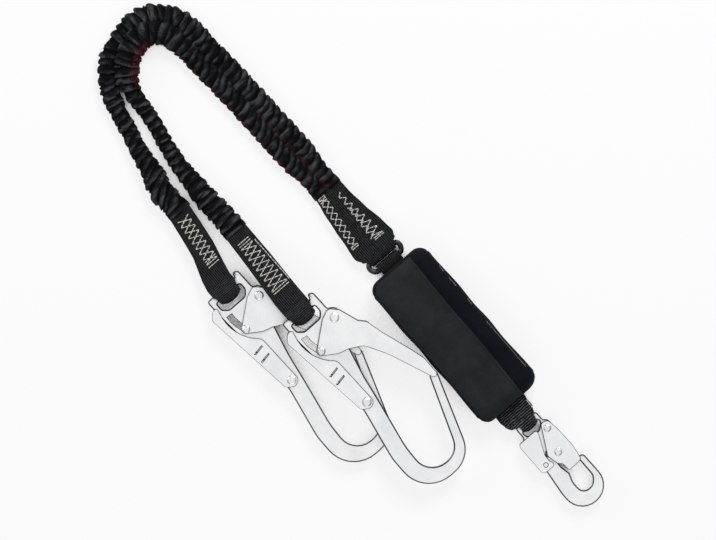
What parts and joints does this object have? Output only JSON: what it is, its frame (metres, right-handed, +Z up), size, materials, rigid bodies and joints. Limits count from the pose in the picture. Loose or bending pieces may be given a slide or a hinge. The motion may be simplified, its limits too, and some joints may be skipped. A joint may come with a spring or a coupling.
{
  "type": "twin shock-absorbing lanyard",
  "caption": "Forked fall-arrest lanyard: tear-webbing absorber pack, link ring, elasticated legs ending in scaffold hooks, and a small self-locking snap hook for the harness.",
  "frame": {"origin": "on the surface that the lanyard lies on, under the middle of the absorber pack", "axes": "+X along the pack towards the snap hook, +Y across it away from the two scaffold hooks, +Z up"},
  "size_m": [0.7219, 0.2239, 0.0436],
  "materials": {
    "plated_steel": "bright zinc plated, satin forging",
    "gate_steel": "bright zinc plated sheet",
    "rivet_steel": "plated rivet",
    "spring_steel": "oiled spring wire",
    "ring_steel": "blackened, half gloss",
    "webbing": "flat woven polyester",
    "elastic_sleeve": "gathered tubular webbing",
    "wear_sleeve": "coarse grid weave",
    "cover": "close woven cloth",
    "tear_webbing": "undyed tear webbing"
  },
  "bodies": {
    "legs": {"link_ring": "ring_steel", "leg_a_ring_loop": "webbing", "leg_a_sleeve": "elastic_sleeve", "leg_a_hook_loop": "webbing", "leg_a_wear_sleeve": "wear_sleeve", "leg_b_ring_loop": "webbing", "leg_b_sleeve": "elastic_sleeve", "leg_b_hook_loop": "webbing", "leg_b_wear_sleeve": "wear_sleeve"},
    "pack": {"pack_cover": "cover", "absorber_webbing": "tear_webbing", "pack_ring_loop": "webbing", "pack_snap_loop": "webbing"},
    "snap_hook": {"snap_body": "plated_steel", "snap_gate_pin": "rivet_steel", "snap_lever_pin": "rivet_steel", "snap_gate_spring": "spring_steel", "snap_lever_spring": "spring_steel"},
    "snap_hook_gate": {"snap_gate": "gate_steel", "snap_lock_pin": "rivet_steel"},
    "snap_hook_lever": {"snap_lever": "gate_steel"},
    "hook_a": {"hook_a_body": "plated_steel", "hook_a_gate_pin": "rivet_steel", "hook_a_lever_pin": "rivet_steel", "hook_a_gate_spring": "spring_steel", "hook_a_lever_spring": "spring_steel"},
    "hook_a_gate_set": {"hook_a_gate": "gate_steel", "hook_a_lock_pin": "rivet_steel"},
    "hook_a_lever_set": {"hook_a_lever": "gate_steel"},
    "hook_b": {"hook_b_body": "plated_steel", "hook_b_gate_pin": "rivet_steel", "hook_b_lever_pin": "rivet_steel", "hook_b_gate_spring": "spring_steel", "hook_b_lever_spring": "spring_steel"},
    "hook_b_gate_set": {"hook_b_gate": "gate_steel", "hook_b_lock_pin": "rivet_steel"},
    "hook_b_lever_set": {"hook_b_lever": "gate_steel"}
  },
  "joints": [
    {"name": "pack_swing", "type": "hinge", "parent": "legs", "child": "pack", "pos_m": [-0.104, -0.001, 0.007], "axis": [0, 1, 0], "range_deg": [-60, 60]},
    {"name": "snap_swing", "type": "hinge", "parent": "pack", "child": "snap_hook", "pos_m": [0.123, -0.001, 0.0093], "axis": [0, 1, 0], "range_deg": [-60, 60]},
    {"name": "snap_gate_hinge", "type": "hinge", "parent": "snap_hook", "child": "snap_hook_gate", "pos_m": [0.141, 0.01, 0.0093], "axis": [0, 0, 1], "range_deg": [-22, 0], "stiffness_Nm_per_rad": 0.05, "springref_deg": 28.65},
    {"name": "snap_lever_hinge", "type": "hinge", "parent": "snap_hook", "child": "snap_hook_lever", "pos_m": [0.17, -0.017, 0.0093], "axis": [0, 0, 1], "range_deg": [-3, 0], "stiffness_Nm_per_rad": 0.2, "springref_deg": 8.59},
    {"name": "hook_a_swing", "type": "hinge", "parent": "legs", "child": "hook_a", "pos_m": [-0.195, -0.1515, 0.0105], "axis": [0, 1, 0], "range_deg": [0, 90]},
    {"name": "hook_a_gate_hinge", "type": "hinge", "parent": "hook_a", "child": "hook_a_gate_set", "pos_m": [-0.168, -0.1295, 0.0105], "axis": [0, 0, 1], "range_deg": [-30, 0], "stiffness_Nm_per_rad": 0.2, "springref_deg": 28.65},
    {"name": "hook_a_lever_hinge", "type": "hinge", "parent": "hook_a", "child": "hook_a_lever_set", "pos_m": [-0.077, -0.1625, 0.0105], "axis": [0, 0, 1], "range_deg": [-1.5, 0], "stiffness_Nm_per_rad": 0.5, "springref_deg": 11.46},
    {"name": "hook_b_swing", "type": "hinge", "parent": "legs", "child": "hook_b", "pos_m": [-0.125, -0.106, 0.034], "axis": [0, 1, 0], "range_deg": [-90, 0]},
    {"name": "hook_b_gate_hinge", "type": "hinge", "parent": "hook_b", "child": "hook_b_gate_set", "pos_m": [-0.09806, -0.084, 0.03221], "axis": [0.0663, 0, 0.9978], "range_deg": [-30, 0], "stiffness_Nm_per_rad": 0.2, "springref_deg": 28.65},
    {"name": "hook_b_lever_hinge", "type": "hinge", "parent": "hook_b", "child": "hook_b_lever_set", "pos_m": [-0.00726, -0.117, 0.02618], "axis": [0.0663, 0, 0.9978], "range_deg": [-1.5, 0], "stiffness_Nm_per_rad": 0.5, "springref_deg": 11.46}
  ]
}
